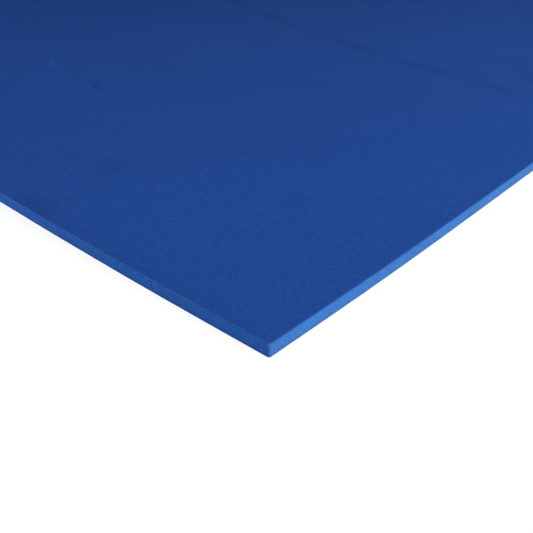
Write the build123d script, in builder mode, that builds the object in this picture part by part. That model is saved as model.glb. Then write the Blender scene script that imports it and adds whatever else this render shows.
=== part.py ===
from build123d import *
import os

# One sheet of closed-cell craft foam, die-cut from a larger slab.
# It lies flat: the origin is the centre of its underside, +Z is up and the long side runs along X.

# Overall sizes, in millimetres
sheet_length = 600.0  # along X
sheet_width = 400.0  # along Y
sheet_thickness = 2.0

# What the die leaves on the cut edge
corner_radius = 0.4  # plan radius of the four corners
drag_in_radius = 0.25  # upper rim, where the rule pulls the skin down as it enters
exit_bevel = 0.08  # lower rim, nearly sharp against the cutting board

os.makedirs("parts", exist_ok=True)

with BuildPart() as foam_sheet:
    with BuildSketch() as outline:
        RectangleRounded(sheet_length, sheet_width, corner_radius)
    extrude(amount=sheet_thickness)
    upper_face = foam_sheet.faces().sort_by(Axis.Z).last
    fillet(upper_face.edges(), radius=drag_in_radius)
    lower_face = foam_sheet.faces().sort_by(Axis.Z).first
    chamfer(lower_face.edges(), length=exit_bevel)

foam_sheet.part.label = "foam_sheet"
export_step(foam_sheet.part, "parts/foam_sheet.step")
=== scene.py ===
import math
import bpy
import numpy as np
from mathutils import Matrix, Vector


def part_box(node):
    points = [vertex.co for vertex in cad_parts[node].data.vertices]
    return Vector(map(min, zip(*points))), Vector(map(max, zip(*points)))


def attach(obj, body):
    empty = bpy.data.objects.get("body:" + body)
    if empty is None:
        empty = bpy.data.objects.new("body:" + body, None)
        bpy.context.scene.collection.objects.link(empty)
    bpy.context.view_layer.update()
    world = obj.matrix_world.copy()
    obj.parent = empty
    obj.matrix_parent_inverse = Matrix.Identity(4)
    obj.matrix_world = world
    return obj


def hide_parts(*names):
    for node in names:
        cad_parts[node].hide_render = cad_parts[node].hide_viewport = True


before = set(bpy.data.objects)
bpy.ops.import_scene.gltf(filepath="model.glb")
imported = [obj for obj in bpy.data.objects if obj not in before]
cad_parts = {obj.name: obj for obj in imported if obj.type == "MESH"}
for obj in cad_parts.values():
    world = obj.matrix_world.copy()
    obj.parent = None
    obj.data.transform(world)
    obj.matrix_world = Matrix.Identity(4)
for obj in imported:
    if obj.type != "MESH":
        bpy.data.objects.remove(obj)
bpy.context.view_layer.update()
lowest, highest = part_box("foam_sheet")
mm = 0.001
longSide = (highest.x - lowest.x) / mm
shortSide = (highest.y - lowest.y) / mm
gauge = (highest.z - lowest.z) / mm  # the sheet's thickness
nearCorner = Vector((lowest.x, lowest.y, lowest.z))  # the sheet's own millimetres start here
scene = bpy.context.scene

shot = {
    "fromCorner": (-45.525, -40.883, 47.577),  # millimetres from the near corner
    "lens": 42.466,
    "down": 29.523,  # degrees below level
    "turn": 42.236,  # degrees from the long side
    "clipStart": 0.005,
}


def makeCamera():
    lens = bpy.data.cameras.new("closeCamera")
    lens.lens = shot["lens"]
    lens.clip_start = shot["clipStart"]
    camera = bpy.data.objects.new("closeCamera", lens)
    camera.location = nearCorner + Vector(shot["fromCorner"]) * mm
    camera.rotation_euler = (math.radians(90 - shot["down"]), 0, math.radians(shot["turn"] - 90))
    scene.collection.objects.link(camera)
    scene.camera = camera


makeCamera()
scene.view_settings.view_transform = "Standard"
print("camera set")

foam = {
    "alongSegments": 1280,  # rim segments on each long side
    "acrossSegments": 864,  # and on each short side
    "cornerSegments": 4,
    "cornerRadius": 0.4,
    "rimRadius": 0.25,  # the skin rolls over the upper rim
    "lowerBevel": 0.08,
    "footShade": 0.55,  # how far up the cut face its painted shade at the foot reaches
    "faceRows": 6,  # rows up the straight part of the cut face
    "rimRows": 4,
    "faceRelief": 0.03,  # how far the cut face swells and sinks
    "swellLength": 9,  # lengths along the rim, in its segments
    "cellRelief": 0.012,  # and the torn cells in it
    "cellLength": 2,
    "rimWander": 0.03,  # the cut line isn't quite straight
    "wanderLength": 61,
    "ripple": 0.03,  # slight unevenness of the upper skin
    "finerAround": 182,  # the upper skin's grid is finer near the crease
    "finerReach": 55,
    "finerBy": 1.2,
    "finerFrom": 15,  # and only this far in from the rim
    "sharpFrom": 36,  # edges that turn more than this many degrees stay crisp
    "seed": 11,
}

upperSkin, lowerSkin, cutEdge = 0, 1, 2  # the order of the sheet's materials

# rings in from the rim: inset, and how many rim segments one of their own spans
upperRings = [(0.8, 1), (1.5, 2), (2.6, 2), (4.2, 4), (6.5, 4), (9.5, 8), (13.0, 8)]
lowerRings = [(0.8, 1), (1.6, 2), (3.0, 4), (5.5, 8), (10.0, 16), (18.0, 32)]

# the edges stand a little off the table between the places where they touch it
slack = {
    "near": [(0, 220, 2.2), (220, 380, 1.4)],  # start, length and lift of each wave
    "right": [(0, 220, 1.1), (220, 180, 0.7)],
    "far": [(0, 300, 1.6), (300, 300, 0.9)],
    "left": [(0, 220, 2.2), (220, 180, 0.8)],
    "rise": 1.35,  # above 1 the sheet stays down longer before it rises
    "reach": 70,  # how far in from the edge the lift dies away
}

# two faint creases in the upper skin, start and end in the sheet's millimetres; each is pressed in as a
# shallow dent and also darkened by a painted shade
creases = [
    {"start": (125.5, 16), "end": (238, 249), "bow": 3.0, "wobble": 3.0,
     "width": 6.0, "depth": 0.07, "shade": 0.12},
    {"start": (180, 48), "end": (146, 25), "bow": 0.5, "wobble": 3.0,
     "width": 6.5, "depth": 0.04, "shade": 0.11},
]

creaseEnd = 1 / 6  # share of its length over which a crease sinks in

# where the parts of the surface lie on the texture map, as shares of it
mapLayout = {
    "margin": 0.004,
    "skinWidth": 0.488,
    "skinLength": 0.85,
    "lowerSkinStart": 0.508,
    "stripStart": 0.866,
    "strips": 8,  # the cut face goes round in this many strips
    "stripStep": 0.0165,
    "stripHeight": 0.0145,
}


def edgeWave(waves, along):
    height = np.zeros_like(along)
    for start, length, lift in waves:
        inside = (along >= start) & (along <= start + length)
        swell = (1 - np.cos(2 * np.pi * (along - start) / length)) / 2
        height += inside * lift * swell ** slack["rise"]
    return height


def liftAt(place):
    x, y = place[:, 0], place[:, 1]
    sides = [("near", x, y), ("right", y, longSide - x), ("far", x, shortSide - y), ("left", y, x)]
    height = np.zeros(len(place))
    for name, along, inward in sides:
        height += edgeWave(slack[name], along) * np.exp(-((inward / slack["reach"]) ** 2))
    return height


def rippleAt(place):
    x, y = place[:, 0], place[:, 1]
    waves = np.sin(x / 13 + 0.8 * np.sin(y / 21))  # three crossing waves of unlike length
    waves += np.sin(y / 11 + 0.9 * np.sin(x / 17))
    waves += np.sin((x + y) / 29)
    return foam["ripple"] * waves / 3


def creaseAt(place):
    depth = np.zeros(len(place))
    for crease in creases:
        start = np.array(crease["start"], float)
        run = np.array(crease["end"], float) - start
        length = np.linalg.norm(run)
        share = (place - start) @ run / length ** 2
        aside = (place - start) @ np.array([-run[1], run[0]]) / length
        middle = crease["bow"] * 4 * share * (1 - share)
        ends = np.clip(share / creaseEnd, 0, 1) * np.clip((1 - share) / creaseEnd, 0, 1)
        depth += crease["depth"] * ends * np.exp(-(((aside - middle) / crease["width"]) ** 2))
    return depth


def sheetOutline():
    # the cut line and the way it faces, counterclockwise from the near corner
    radius = foam["cornerRadius"]
    centres = [
        (longSide - radius, radius),
        (longSide - radius, shortSide - radius),
        (radius, shortSide - radius),
        (radius, radius),
    ]
    line, facing = [], []
    for side, centre in enumerate(centres):
        count = foam["acrossSegments"] if side % 2 else foam["alongSegments"]
        start, end = np.array(centres[side - 1], float), np.array(centre, float)
        turn = (side - 1) * np.pi / 2
        out = np.array([math.cos(turn), math.sin(turn)])
        line.append(start + (end - start) * np.linspace(0, 1, count + 1)[:, None] + out * radius)
        facing.append(np.tile(out, (count + 1, 1)))
        bend = turn + np.pi / 2 * np.arange(1, foam["cornerSegments"]) / foam["cornerSegments"]
        outs = np.column_stack([np.cos(bend), np.sin(bend)])
        line.append(end + outs * radius)
        facing.append(outs)
    return np.concatenate(line), np.concatenate(facing)


def ringAt(inset, alongCount, acrossCount):
    along = np.linspace(inset, longSide - inset, alongCount + 1)[:-1]
    across = np.linspace(inset, shortSide - inset, acrossCount + 1)[:-1]
    return np.concatenate([
        np.column_stack([along, np.full(alongCount, inset)]),
        np.column_stack([np.full(acrossCount, longSide - inset), across]),
        np.column_stack([longSide - along, np.full(alongCount, shortSide - inset)]),
        np.column_stack([np.full(acrossCount, inset), shortSide - across]),
    ])


def smoothRound(values, width):
    # running average along the rim, which closes on itself
    kernel = np.hanning(width + 2)[1:-1]
    kernel /= kernel.sum()
    wrapped = np.concatenate([values[-width:], values, values[:width]])
    smooth = np.apply_along_axis(lambda row: np.convolve(row, kernel, "same"), 0, wrapped)
    return smooth[width:-width]


def cutProfile():
    # inset, height, how much of the relief it takes, and how much of it is bare cut foam
    bevel, rim = foam["lowerBevel"], foam["rimRadius"]
    rows = [(bevel, 0, 0, 1)]
    for step in range(foam["faceRows"] + 1):
        rows.append((0, bevel + (gauge - rim - bevel) * step / foam["faceRows"], 1, 1))
    for step in range(1, foam["rimRows"] + 1):
        share = step / foam["rimRows"]
        angle = share * math.pi / 2
        inset, height = rim * (1 - math.cos(angle)), gauge - rim + rim * math.sin(angle)
        rows.append((inset, height, 1 - share, 1 - share))
    return rows


class surfaceParts:
    # the points, faces and map corners gathered so far
    def __init__(self):
        self.points = []
        self.faces = []
        self.mapCorners = []
        self.cutShare = []
        self.footShade = []
        self.materials = []

    def add(self, places, heights, cutShare=0.0, footShade=0.0):
        first = len(self.points)
        self.points.extend(np.column_stack([places, heights]).tolist())
        self.cutShare.extend([cutShare] * len(places))
        self.footShade.extend([footShade] * len(places))
        return first

    def face(self, corners, mapPlaces, material):
        self.faces.append(corners)
        self.mapCorners.extend(mapPlaces)
        self.materials.append(material)


def skinMap(place, upper):
    width, length, edge = mapLayout["skinWidth"], mapLayout["skinLength"], mapLayout["margin"]
    if upper:
        return (edge + (1 - place[1] / shortSide) * width, edge + place[0] / longSide * length)
    return (mapLayout["lowerSkinStart"] + place[1] / shortSide * width, edge + place[0] / longSide * length)


def addSkin(parts, rimFirst, rimCount, rings, upper):
    material = upperSkin if upper else lowerSkin

    def height(places):
        if upper:
            return gauge + liftAt(places) + rippleAt(places) - creaseAt(places)
        return liftAt(places)

    def place(places):
        return parts.add(places, height(places))

    def lay(corners):
        if not upper:
            corners = corners[::-1]
        parts.face(corners, [skinMap(parts.points[corner], upper) for corner in corners], material)

    def sides(alongCount, acrossCount):
        return [alongCount, acrossCount, alongCount, acrossCount]

    # from the rim, whose corners are arcs, to the first ring, whose corners are single points
    inset, span = rings[0]
    counts = sides(foam["alongSegments"], foam["acrossSegments"])
    places = ringAt(inset, counts[0], counts[1])
    first = place(places)
    total = len(places)
    outerAt, innerAt = 0, 0
    for count in counts:
        for step in range(count):
            lay([
                rimFirst + outerAt + step,
                rimFirst + outerAt + step + 1,
                first + (innerAt + step + 1) % total,
                first + innerAt + step,
            ])
        outerAt += count
        innerAt += count
        for step in range(foam["cornerSegments"]):
            lay([
                rimFirst + outerAt + step,
                rimFirst + (outerAt + step + 1) % rimCount,
                first + innerAt % total,
            ])
        outerAt += foam["cornerSegments"]

    # ring to ring, where every other one has half as many points
    before, beforeFirst, beforeTotal = span, first, total
    for inset, span in rings[1:]:
        beforeCounts = counts
        counts = sides(foam["alongSegments"] // span, foam["acrossSegments"] // span)
        places = ringAt(inset, counts[0], counts[1])
        first = place(places)
        total = len(places)
        outerAt, innerAt = 0, 0
        for side, count in enumerate(counts):
            for step in range(count):
                inner = first + innerAt + step
                innerNext = first + (innerAt + step + 1) % total
                if span == before:
                    outer = beforeFirst + outerAt + step
                    outerNext = beforeFirst + (outerAt + step + 1) % beforeTotal
                    lay([outer, outerNext, innerNext, inner])
                else:
                    outer = beforeFirst + outerAt + 2 * step
                    middle = outer + 1
                    outerNext = beforeFirst + (outerAt + 2 * step + 2) % beforeTotal
                    lay([outer, middle, inner])
                    lay([middle, innerNext, inner])
                    lay([middle, outerNext, innerNext])
            outerAt += beforeCounts[side]
            innerAt += count
        before, beforeFirst, beforeTotal = span, first, total

    # the last ring is the border of a grid
    columns, rows = counts[0], counts[1]
    fine = np.linspace(inset, longSide - inset, 2000)
    fromCrease = (fine - foam["finerAround"]) / foam["finerReach"]
    crowd = np.cumsum(1 + foam["finerBy"] * np.exp(-(fromCrease ** 2)))
    crowd = (crowd - crowd[0]) / (crowd[-1] - crowd[0])
    evenX = np.linspace(inset, longSide - inset, columns + 1)
    crowdedX = np.interp(np.linspace(0, 1, columns + 1), crowd, fine)
    evenY = np.linspace(inset, shortSide - inset, rows + 1)
    gridIndex = np.zeros((rows + 1, columns + 1), int)
    gridIndex[0, :] = first + np.arange(columns + 1)
    gridIndex[:, columns] = first + columns + np.arange(rows + 1)
    gridIndex[rows, :] = first + columns + rows + np.arange(columns + 1)[::-1]
    gridIndex[1:, 0] = first + 2 * columns + rows + np.arange(rows)[::-1]
    gridIndex[0, 0] = first
    toMiddle = np.clip(np.minimum(evenY - inset, shortSide - inset - evenY) / foam["finerFrom"], 0, 1)
    for row in range(1, rows):
        across = evenX + (crowdedX - evenX) * toMiddle[row] if upper else evenX
        inner = np.column_stack([across[1:-1], np.full(columns - 1, evenY[row])])
        gridIndex[row, 1:columns] = place(inner) + np.arange(columns - 1)
    for row in range(rows):
        for column in range(columns):
            lay([
                int(gridIndex[row, column]),
                int(gridIndex[row, column + 1]),
                int(gridIndex[row + 1, column + 1]),
                int(gridIndex[row + 1, column]),
            ])


def addCutFace(parts, line, facing, rng):
    profile = cutProfile()
    total, rows = len(line), len(profile)
    swell = smoothRound(rng.normal(0, 1, (total, rows)), foam["swellLength"])
    swell /= np.abs(swell).max()
    cells = smoothRound(rng.normal(0, 1, (total, rows)), foam["cellLength"])
    cells /= np.abs(cells).max()
    wander = smoothRound(rng.normal(0, 1, (total, 1)), foam["wanderLength"])[:, 0]
    wander *= foam["rimWander"] / np.abs(wander).max()
    starts = []
    for row, (inset, height, relief, bare) in enumerate(profile):
        rough = foam["faceRelief"] * swell[:, row] + foam["cellRelief"] * cells[:, row]
        out = wander - inset + relief * rough
        places = line + facing * out[:, None]
        rise = height + liftAt(line) + rippleAt(line) * height / gauge
        # each row's weight for the painted shade at the foot, 1 at the table and fading out up the face
        starts.append(parts.add(places, rise, bare, max(0.0, 1 - height / foam["footShade"])))
    # how far round the profile each row lies, for the map
    travel = [0.0]
    for before, after in zip(profile, profile[1:]):
        travel.append(travel[-1] + math.hypot(after[0] - before[0], after[1] - before[1]))
    travel = np.array(travel) / travel[-1]
    perStrip = total // mapLayout["strips"]
    across = (1 - 2 * mapLayout["margin"]) / perStrip
    for step in range(total):
        strip, place = divmod(step, perStrip)
        left = mapLayout["margin"] + place * across
        base = mapLayout["stripStart"] + strip * mapLayout["stripStep"]
        following = (step + 1) % total
        for row in range(rows - 1):
            low = base + travel[row] * mapLayout["stripHeight"]
            high = base + travel[row + 1] * mapLayout["stripHeight"]
            here, above = starts[row], starts[row + 1]
            parts.face(
                [here + step, here + following, above + following, above + step],
                [(left, low), (left + across, low), (left + across, high), (left, high)],
                cutEdge,
            )
    return starts[0], starts[-1]


def makeSheet():
    rng = np.random.default_rng(foam["seed"])
    line, facing = sheetOutline()
    parts = surfaceParts()
    lowerRim, upperRim = addCutFace(parts, line, facing, rng)
    addSkin(parts, upperRim, len(line), upperRings, True)
    addSkin(parts, lowerRim, len(line), lowerRings, False)
    mesh = bpy.data.meshes.new("craft_foam")
    places = np.array(parts.points) * mm + np.array(nearCorner)
    mesh.from_pydata(places.tolist(), [], parts.faces)
    bakeMap = mesh.uv_layers.new(name="OFBake")
    bakeMap.uv.foreach_set("vector", np.array(parts.mapCorners, np.float32).ravel())
    for name, values in (("cutShare", parts.cutShare), ("footShade", parts.footShade)):
        attribute = mesh.attributes.new(name, "FLOAT", "POINT")
        attribute.data.foreach_set("value", np.array(values, np.float32))
    mesh.polygons.foreach_set("material_index", parts.materials)
    mesh.shade_smooth()
    mesh.set_sharp_from_angle(angle=math.radians(foam["sharpFrom"]))
    mesh.update()
    sheet = bpy.data.objects.new("craft_foam", mesh)
    scene.collection.objects.link(sheet)
    triangles = sum(len(face) - 2 for face in parts.faces)
    print("sheet made,", len(mesh.vertices), "points,", triangles, "triangles")
    return sheet


sheet = makeSheet()


def newGroup(name, inputs, outputs):
    group = bpy.data.node_groups.new(name, "ShaderNodeTree")
    for label, kind, value in inputs:
        socket = group.interface.new_socket(label, in_out="INPUT", socket_type="NodeSocket" + kind)
        if value is not None:
            socket.default_value = value
    for label, kind in outputs:
        group.interface.new_socket(label, in_out="OUTPUT", socket_type="NodeSocket" + kind)
    return group, group.nodes.new("NodeGroupInput").outputs, group.nodes.new("NodeGroupOutput").inputs


def put(tree, kind, inputs, **settings):
    node = tree.nodes.new(kind)
    for name, value in settings.items():
        setattr(node, name, value)
    for name, value in inputs.items():
        if isinstance(value, bpy.types.NodeSocket):
            tree.links.new(value, node.inputs[name])
        else:
            node.inputs[name].default_value = value
    return node


def calc(tree, operation, *values, clamp=False):
    node = put(tree, "ShaderNodeMath", dict(enumerate(values)), operation=operation)
    node.use_clamp = clamp
    return node.outputs[0]


def calcVector(tree, operation, *values, result="Vector"):
    node = put(tree, "ShaderNodeVectorMath", {}, operation=operation)
    for index, value in enumerate(values):
        slot = node.inputs["Scale"] if operation == "SCALE" and index == 1 else node.inputs[index]
        if isinstance(value, bpy.types.NodeSocket):
            tree.links.new(value, slot)
        else:
            slot.default_value = value
    return node.outputs[result]


def fade(tree, value, start, end, low=0.0, high=1.0):
    limits = {"Value": value, "From Min": start, "From Max": end, "To Min": low, "To Max": high}
    node = put(tree, "ShaderNodeMapRange", limits)
    node.interpolation_type = "SMOOTHSTEP"
    return node.outputs["Result"]


def blend(tree, share, first, second):
    node = put(tree, "ShaderNodeMix", {0: share, 6: first, 7: second}, data_type="RGBA")
    return node.outputs[2]


def useGroup(tree, group, inputs):
    node = tree.nodes.new("ShaderNodeGroup")
    node.node_tree = group
    for name, value in inputs.items():
        if isinstance(value, bpy.types.NodeSocket):
            tree.links.new(value, node.inputs[name])
        else:
            node.inputs[name].default_value = value
    return node.outputs


def makeSheetPlace():
    # object coordinates as the sheet's own millimetres
    group, given, result = newGroup(
        "sheetMillimetres",
        [("Coordinates", "Vector", None)],
        [("Place", "Vector")],
    )
    scaled = calcVector(group, "SCALE", given["Coordinates"], 1 / mm)
    moved = calcVector(group, "SUBTRACT", scaled, tuple(nearCorner / mm))
    group.links.new(moved, result["Place"])
    return group


def makeClosedCells():
    # the fine cell grain of the foam, as a height and as a tone around 0
    group, given, result = newGroup(
        "closedCells",
        [("Place", "Vector", None), ("Cell Size", "Float", 0.35), ("Stretch", "Vector", (1, 1, 1))],
        [("Height", "Float"), ("Tone", "Float")],
    )
    place = calcVector(group, "DIVIDE", given["Place"], given["Stretch"])
    scale = calc(group, "DIVIDE", 1.0, given["Cell Size"])
    cell = put(group, "ShaderNodeTexVoronoi", {
        "Vector": place,
        "Scale": scale,
        "Smoothness": 0.6,
    }, feature="SMOOTH_F1")
    clump = put(group, "ShaderNodeTexNoise", {
        "Vector": place,
        "Scale": calc(group, "MULTIPLY", scale, 0.45),  # clumps of about two cells
        "Detail": 3.0,
        "Roughness": 0.6,
    })
    bubbles = calc(group, "MULTIPLY", cell.outputs["Distance"], 0.6)
    height = calc(group, "ADD", bubbles, calc(group, "MULTIPLY", clump.outputs[0], 0.5))
    tone = calc(group, "SUBTRACT", height, 0.55)  # about its mean
    group.links.new(height, result["Height"])
    group.links.new(tone, result["Tone"])
    return group


def makeUnevenDye():
    # the dye's slow change of tone over the sheet, with the cell grain on top
    group, given, result = newGroup(
        "unevenDye",
        [
            ("Color", "Color", None),
            ("Place", "Vector", None),
            ("Patch Size", "Float", 40.0),
            ("Amount", "Float", 0.05),
            ("Tone", "Float", 0.0),
            ("Tone Amount", "Float", 0.1),
        ],
        [("Color", "Color")],
    )
    patches = put(group, "ShaderNodeTexNoise", {
        "Vector": given["Place"],
        "Scale": calc(group, "DIVIDE", 1.0, given["Patch Size"]),
        "Detail": 2.0,
    })
    change = calc(group, "MULTIPLY", calc(group, "SUBTRACT", patches.outputs[0], 0.5), given["Amount"])
    grain = calc(group, "MULTIPLY", given["Tone"], given["Tone Amount"])
    strength = calc(group, "ADD", calc(group, "ADD", change, grain), 1.0)
    group.links.new(calcVector(group, "SCALE", given["Color"], strength), result["Color"])
    return group


def makeSoftSpot():
    # a soft-edged oval mark
    group, given, result = newGroup(
        "softSpot",
        [
            ("Place", "Vector", None),
            ("Centre", "Vector", (0, 0, 0)),
            ("Half Width", "Float", 2.0),
            ("Half Height", "Float", 2.0),
            ("Turn", "Float", 0.0),
            ("Softness", "Float", 0.6),
        ],
        [("Mask", "Float")],
    )
    # the height above the table doesn't count
    flat = calcVector(group, "MULTIPLY", given["Place"], (1, 1, 0))
    offset = calcVector(group, "SUBTRACT", flat, given["Centre"])
    turned = put(group, "ShaderNodeVectorRotate", {
        "Vector": offset,
        "Angle": given["Turn"],
    }, rotation_type="Z_AXIS")
    apart = put(group, "ShaderNodeSeparateXYZ", {"Vector": turned.outputs[0]})
    squares = []
    for side, half in ((0, "Half Width"), (1, "Half Height")):
        part = calc(group, "DIVIDE", calc(group, "ABSOLUTE", apart.outputs[side]), given[half])
        squares.append(calc(group, "POWER", part, 2.0))
    reach = calc(group, "SQRT", calc(group, "ADD", squares[0], squares[1]))
    inner = calc(group, "SUBTRACT", 1.0, given["Softness"])
    group.links.new(fade(group, reach, inner, 1.0, 1.0, 0.0), result["Mask"])
    return group


def makePressedLine():
    # a crease from start to end that bows and wobbles a little
    group, given, result = newGroup(
        "pressedLine",
        [
            ("Place", "Vector", None),
            ("Start", "Vector", (0, 0, 0)),
            ("End", "Vector", (10, 0, 0)),
            ("Bow", "Float", 0.0),
            ("Width", "Float", 3.0),
            ("Wobble", "Float", 1.0),
        ],
        [("Mask", "Float")],
    )
    run = calcVector(group, "SUBTRACT", given["End"], given["Start"])
    along = calcVector(group, "NORMALIZE", run)
    length = calcVector(group, "LENGTH", run, result="Value")
    offset = calcVector(group, "SUBTRACT", given["Place"], given["Start"])
    forward = calcVector(group, "DOT_PRODUCT", offset, along, result="Value")
    share = calc(group, "DIVIDE", forward, length)
    sideways = calcVector(group, "CROSS_PRODUCT", (0, 0, 1), along)
    aside = calcVector(group, "DOT_PRODUCT", offset, sideways, result="Value")
    middle = calc(group, "MULTIPLY", share, calc(group, "SUBTRACT", 1.0, share))
    middle = calc(group, "MULTIPLY", calc(group, "MULTIPLY", middle, 4.0), given["Bow"])
    shake = put(group, "ShaderNodeTexNoise", {"Vector": given["Place"], "Scale": 0.09, "Detail": 2.0})
    shake = calc(group, "MULTIPLY", calc(group, "SUBTRACT", shake.outputs[0], 0.5), given["Wobble"])
    away = calc(group, "ABSOLUTE", calc(group, "ADD", calc(group, "SUBTRACT", aside, middle), shake))
    body = fade(group, calc(group, "DIVIDE", away, given["Width"]), 0.1, 1.0, 1.0, 0.0)
    ends = calc(group, "MULTIPLY", fade(group, share, 0.0, 0.05), fade(group, share, 1.0, 0.95))
    # the crease comes and goes along its run
    broken = put(group, "ShaderNodeTexNoise", {"Vector": given["Place"], "Scale": 0.028, "Detail": 1.0})
    strength = fade(group, broken.outputs[0], 0.3, 0.62, 0.3, 1.0)
    mask = calc(group, "MULTIPLY", calc(group, "MULTIPLY", body, ends), strength)
    group.links.new(mask, result["Mask"])
    return group


def makeEdgeBand():
    # the strip of skin beside the cut, Reach wide
    group, given, result = newGroup(
        "edgeBand",
        [("Place", "Vector", None), ("Reach", "Float", 3.0)],
        [("Mask", "Float")],
    )
    opposite = calcVector(group, "SUBTRACT", (longSide, shortSide, 0), given["Place"])
    nearest = calcVector(group, "MINIMUM", given["Place"], opposite)
    apart = put(group, "ShaderNodeSeparateXYZ", {"Vector": nearest})
    inset = calc(group, "MINIMUM", apart.outputs[0], apart.outputs[1])
    group.links.new(fade(group, inset, 0.0, given["Reach"], 1.0, 0.0), result["Mask"])
    return group


sheetPlace = makeSheetPlace()
edgeBand = makeEdgeBand()
closedCells = makeClosedCells()
unevenDye = makeUnevenDye()
softSpot = makeSoftSpot()
pressedLine = makePressedLine()
print("shader groups made")

skinFinish = {
    "color": (0.0148, 0.0565, 0.240, 1),
    "roughness": 0.82,
    "specular": 0.006,
    "cellSize": 0.45,
    "grain": 0.55,  # how much the cells show in the tone
    "edgeReach": 3.2,  # painted shade: the skin's colour is darkened beside the cut, where it rolls down over the rim
    "edgeShade": 0.035,
    "bumpHeight": 0.00002,
    "bump": 0.35,
    "patch": 38,
    "uneven": 0.10,
}

# smudges and specks on the upper skin, and a painted shade along the left edge: centre and half size in the
# sheet's millimetres, turn in radians, softness of the rim, and tone, darker below 0
smudgesAndShade = [
    {"centre": (21.4, 62.0), "half": (8.0, 4.4), "turn": -0.75, "soft": 0.85, "tone": -0.105},
    # painted shade: these two darken the skin along the left edge, where the surface dips near the rim
    {"centre": (1.5, 56.0), "half": (5.5, 8.5), "turn": 0.08, "soft": 0.8, "tone": -0.12},
    {"centre": (1.0, 30.0), "half": (8.0, 32.0), "turn": 0.0, "soft": 0.9, "tone": -0.014},
    {"centre": (68.1, 160.5), "half": (1.5, 13.0), "turn": 0.5, "soft": 0.75, "tone": 0.19},
    {"centre": (57.6, 119.6), "half": (1.6, 7.5), "turn": 0.5, "soft": 0.8, "tone": -0.17},
    {"centre": (98.0, 102.0), "half": (5.5, 2.8), "turn": -0.55, "soft": 0.8, "tone": -0.09},
    {"centre": (35.0, 25.3), "half": (4.0, 6.5), "turn": 0.5, "soft": 0.9, "tone": -0.04},
    {"centre": (13.5, 86.5), "half": (0.9, 2.4), "turn": 0.5, "soft": 0.8, "tone": 0.08},
]


def startMaterial(name):
    material = bpy.data.materials.new(name)
    material.use_nodes = True
    tree = material.node_tree
    shader = tree.nodes["Principled BSDF"]
    coordinates = tree.nodes.new("ShaderNodeTexCoord").outputs["Object"]
    place = useGroup(tree, sheetPlace, {"Coordinates": coordinates})["Place"]
    return material, tree, shader, place


def makeSkin(name, withMarksAndShade):
    material, tree, shader, place = startMaterial(name)
    cells = useGroup(tree, closedCells, {"Place": place, "Cell Size": skinFinish["cellSize"]})
    color = useGroup(tree, unevenDye, {
        "Color": skinFinish["color"],
        "Place": place,
        "Patch Size": skinFinish["patch"],
        "Amount": skinFinish["uneven"],
        "Tone": cells["Tone"],
        "Tone Amount": skinFinish["grain"],
    })["Color"]
    # painted shade: a band beside the cut is darkened, where the skin rolls down over the rim
    edge = useGroup(tree, edgeBand, {"Place": place, "Reach": skinFinish["edgeReach"]})["Mask"]
    change = calc(tree, "MULTIPLY", edge, -skinFinish["edgeShade"])
    if withMarksAndShade:
        # the smudges and specks, and the painted shade along the left edge, darken or lighten the skin
        for mark in smudgesAndShade:
            mask = useGroup(tree, softSpot, {
                "Place": place,
                "Centre": mark["centre"] + (0,),
                "Half Width": mark["half"][0],
                "Half Height": mark["half"][1],
                "Turn": mark["turn"],
                "Softness": mark["soft"],
            })["Mask"]
            change = calc(tree, "ADD", change, calc(tree, "MULTIPLY", mask, mark["tone"]))
        # painted shade: the skin's colour is darkened along each crease
        for crease in creases:
            mask = useGroup(tree, pressedLine, {
                "Place": place,
                "Start": crease["start"] + (0,),
                "End": crease["end"] + (0,),
                "Bow": crease["bow"],
                "Width": crease["width"],
                "Wobble": crease["wobble"],
            })["Mask"]
            change = calc(tree, "ADD", change, calc(tree, "MULTIPLY", mask, -crease["shade"]))
    color = calcVector(tree, "SCALE", color, calc(tree, "ADD", change, 1.0))
    tree.links.new(color, shader.inputs["Base Color"])
    shader.inputs["Roughness"].default_value = skinFinish["roughness"]
    shader.inputs["Specular IOR Level"].default_value = skinFinish["specular"]
    bump = put(tree, "ShaderNodeBump", {
        "Strength": skinFinish["bump"],
        "Distance": skinFinish["bumpHeight"],
        "Height": cells["Height"],
    })
    tree.links.new(bump.outputs["Normal"], shader.inputs["Normal"])
    return material


cutFinish = {
    "color": (0.0252, 0.1110, 0.328, 1),
    "rimColor": (0.0190, 0.0830, 0.280, 1),  # the skin stretched over the rim
    "lowerShade": 0.25,  # painted shade at the foot of the cut face, beside the table
    "sheen": 0.08,
    "roughness": 0.9,
    "specular": 0.01,
    "cellSize": 0.26,
    "stretch": (1.6, 1.6, 1.0),  # the cells lie longer along the sheet than up it
    "grain": 0.65,
    "bumpHeight": 0.00006,
    "bump": 0.5,
    "patch": 5,
    "uneven": 0.22,
}


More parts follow.
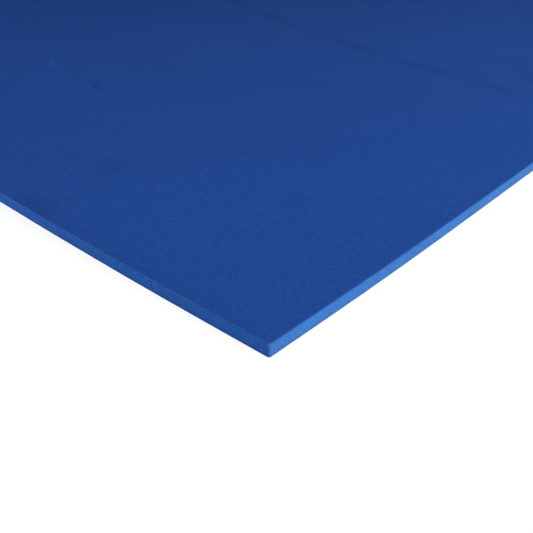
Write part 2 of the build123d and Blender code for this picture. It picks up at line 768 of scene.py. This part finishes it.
def makeCut(name):
    material, tree, shader, place = startMaterial(name)
    cells = useGroup(tree, closedCells, {
        "Place": place,
        "Cell Size": cutFinish["cellSize"],
        "Stretch": cutFinish["stretch"],
    })
    share = put(tree, "ShaderNodeAttribute", {}, attribute_name="cutShare").outputs["Fac"]
    toRim = blend(tree, fade(tree, share, 0.35, 1.0), cutFinish["rimColor"], cutFinish["color"])
    toSkin = blend(tree, fade(tree, share, 0.0, 0.4), skinFinish["color"], toRim)
    # painted shade: the cut face's colour darkens towards its foot beside the table
    footShade = put(tree, "ShaderNodeAttribute", {}, attribute_name="footShade").outputs["Fac"]
    shade = calc(tree, "SUBTRACT", 1.0, calc(tree, "MULTIPLY", footShade, cutFinish["lowerShade"]))
    color = useGroup(tree, unevenDye, {
        "Color": calcVector(tree, "SCALE", toSkin, shade),
        "Place": place,
        "Patch Size": cutFinish["patch"],
        "Amount": cutFinish["uneven"],
        "Tone": cells["Tone"],
        "Tone Amount": cutFinish["grain"],
    })["Color"]
    tree.links.new(color, shader.inputs["Base Color"])
    shader.inputs["Roughness"].default_value = cutFinish["roughness"]
    shader.inputs["Specular IOR Level"].default_value = cutFinish["specular"]
    shader.inputs["Sheen Weight"].default_value = cutFinish["sheen"]
    bump = put(tree, "ShaderNodeBump", {
        "Strength": cutFinish["bump"],
        "Distance": cutFinish["bumpHeight"],
        "Height": cells["Height"],
    })
    tree.links.new(bump.outputs["Normal"], shader.inputs["Normal"])
    return material


sheet.data.materials.append(makeSkin("foamUpperSkin", True))
sheet.data.materials.append(makeSkin("foamLowerSkin", False))
sheet.data.materials.append(makeCut("foamCutEdge"))
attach(sheet, "root")
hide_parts("foam_sheet")
print("sheet finished")

table = {
    "size": 60.0,  # metres across
    "below": 0.05,  # millimetres under the sheet
    "bounce": (0.6, 0.6, 0.6, 1),  # pale grey to the light, white to the eye
    "seen": (1, 1, 1, 1),
    "glow": 0.93,  # how much of it is seen as plain white beside the sheet
    "plainFrom": (0.45, 1.1),  # metres from the middle over which it turns all plain white
}


def makeTable():
    half = table["size"] / 2
    height = lowest.z - table["below"] * mm
    corners = [(x * half, y * half, height) for x, y in ((-1, -1), (1, -1), (1, 1), (-1, 1))]
    mesh = bpy.data.meshes.new("table")
    mesh.from_pydata(corners, [], [(0, 1, 2, 3)])
    top = bpy.data.objects.new("table", mesh)
    scene.collection.objects.link(top)
    material = bpy.data.materials.new("paleTable")
    material.use_nodes = True
    tree = material.node_tree
    tree.nodes.clear()
    looked = seenDirectly(tree)
    color = blend(tree, looked, table["bounce"], table["seen"])
    paint = put(tree, "ShaderNodeBsdfDiffuse", {"Color": color})
    glow = put(tree, "ShaderNodeEmission", {"Color": (1, 1, 1, 1), "Strength": 1.0})
    place = tree.nodes.new("ShaderNodeTexCoord").outputs["Object"]
    away = calcVector(tree, "LENGTH", place, result="Value")
    near, far = table["plainFrom"]
    seen = calc(tree, "MULTIPLY", looked, fade(tree, away, near, far, table["glow"], 1.0))
    mix = put(tree, "ShaderNodeMixShader", {0: seen, 1: paint.outputs[0], 2: glow.outputs[0]})
    put(tree, "ShaderNodeOutputMaterial", {"Surface": mix.outputs[0]})
    mesh.materials.append(material)


def seenDirectly(tree):
    # 1 for what the camera sees, also in a reflection or through glass
    light = tree.nodes.new("ShaderNodeLightPath").outputs
    seen = calc(tree, "ADD", light["Is Camera Ray"], light["Is Glossy Ray"])
    return calc(tree, "ADD", seen, light["Is Transmission Ray"], clamp=True)


# places in millimetres from the near corner, sizes in metres
studio = {
    "sky": 0.2,
    "key": {"place": (150, -600, 400), "aim": (100, 50, 0),
            "size": 0.4, "power": 9.4, "color": (1, 1, 1)},
    "fill": {"place": (-260, 330, 60), "aim": (0, 90, 0),
             "size": 0.1, "power": 1.3, "color": (0.33, 0.57, 1)},
}


def makeLights():
    world = bpy.data.worlds.new("softRoom")
    scene.world = world
    world.use_nodes = True
    tree = world.node_tree
    tree.nodes.clear()
    white = (1, 1, 1, 1)
    room = put(tree, "ShaderNodeBackground", {"Color": white, "Strength": studio["sky"]}).outputs[0]
    backdrop = put(tree, "ShaderNodeBackground", {"Color": white, "Strength": 1.0}).outputs[0]
    mix = put(tree, "ShaderNodeMixShader", {0: seenDirectly(tree), 1: room, 2: backdrop})
    put(tree, "ShaderNodeOutputWorld", {"Surface": mix.outputs[0]})
    for name in ("key", "fill"):
        values = studio[name]
        lamp = bpy.data.lights.new(name, "AREA")
        lamp.shape = "DISK"
        lamp.size = values["size"]
        lamp.energy = values["power"]
        lamp.color = values["color"]
        softbox = bpy.data.objects.new(name, lamp)
        softbox.location = nearCorner + Vector(values["place"]) * mm
        target = nearCorner + Vector(values["aim"]) * mm
        softbox.rotation_euler = (target - softbox.location).to_track_quat("-Z", "Y").to_euler()
        softbox.visible_camera = False
        scene.collection.objects.link(softbox)


makeTable()
makeLights()
print("studio set")
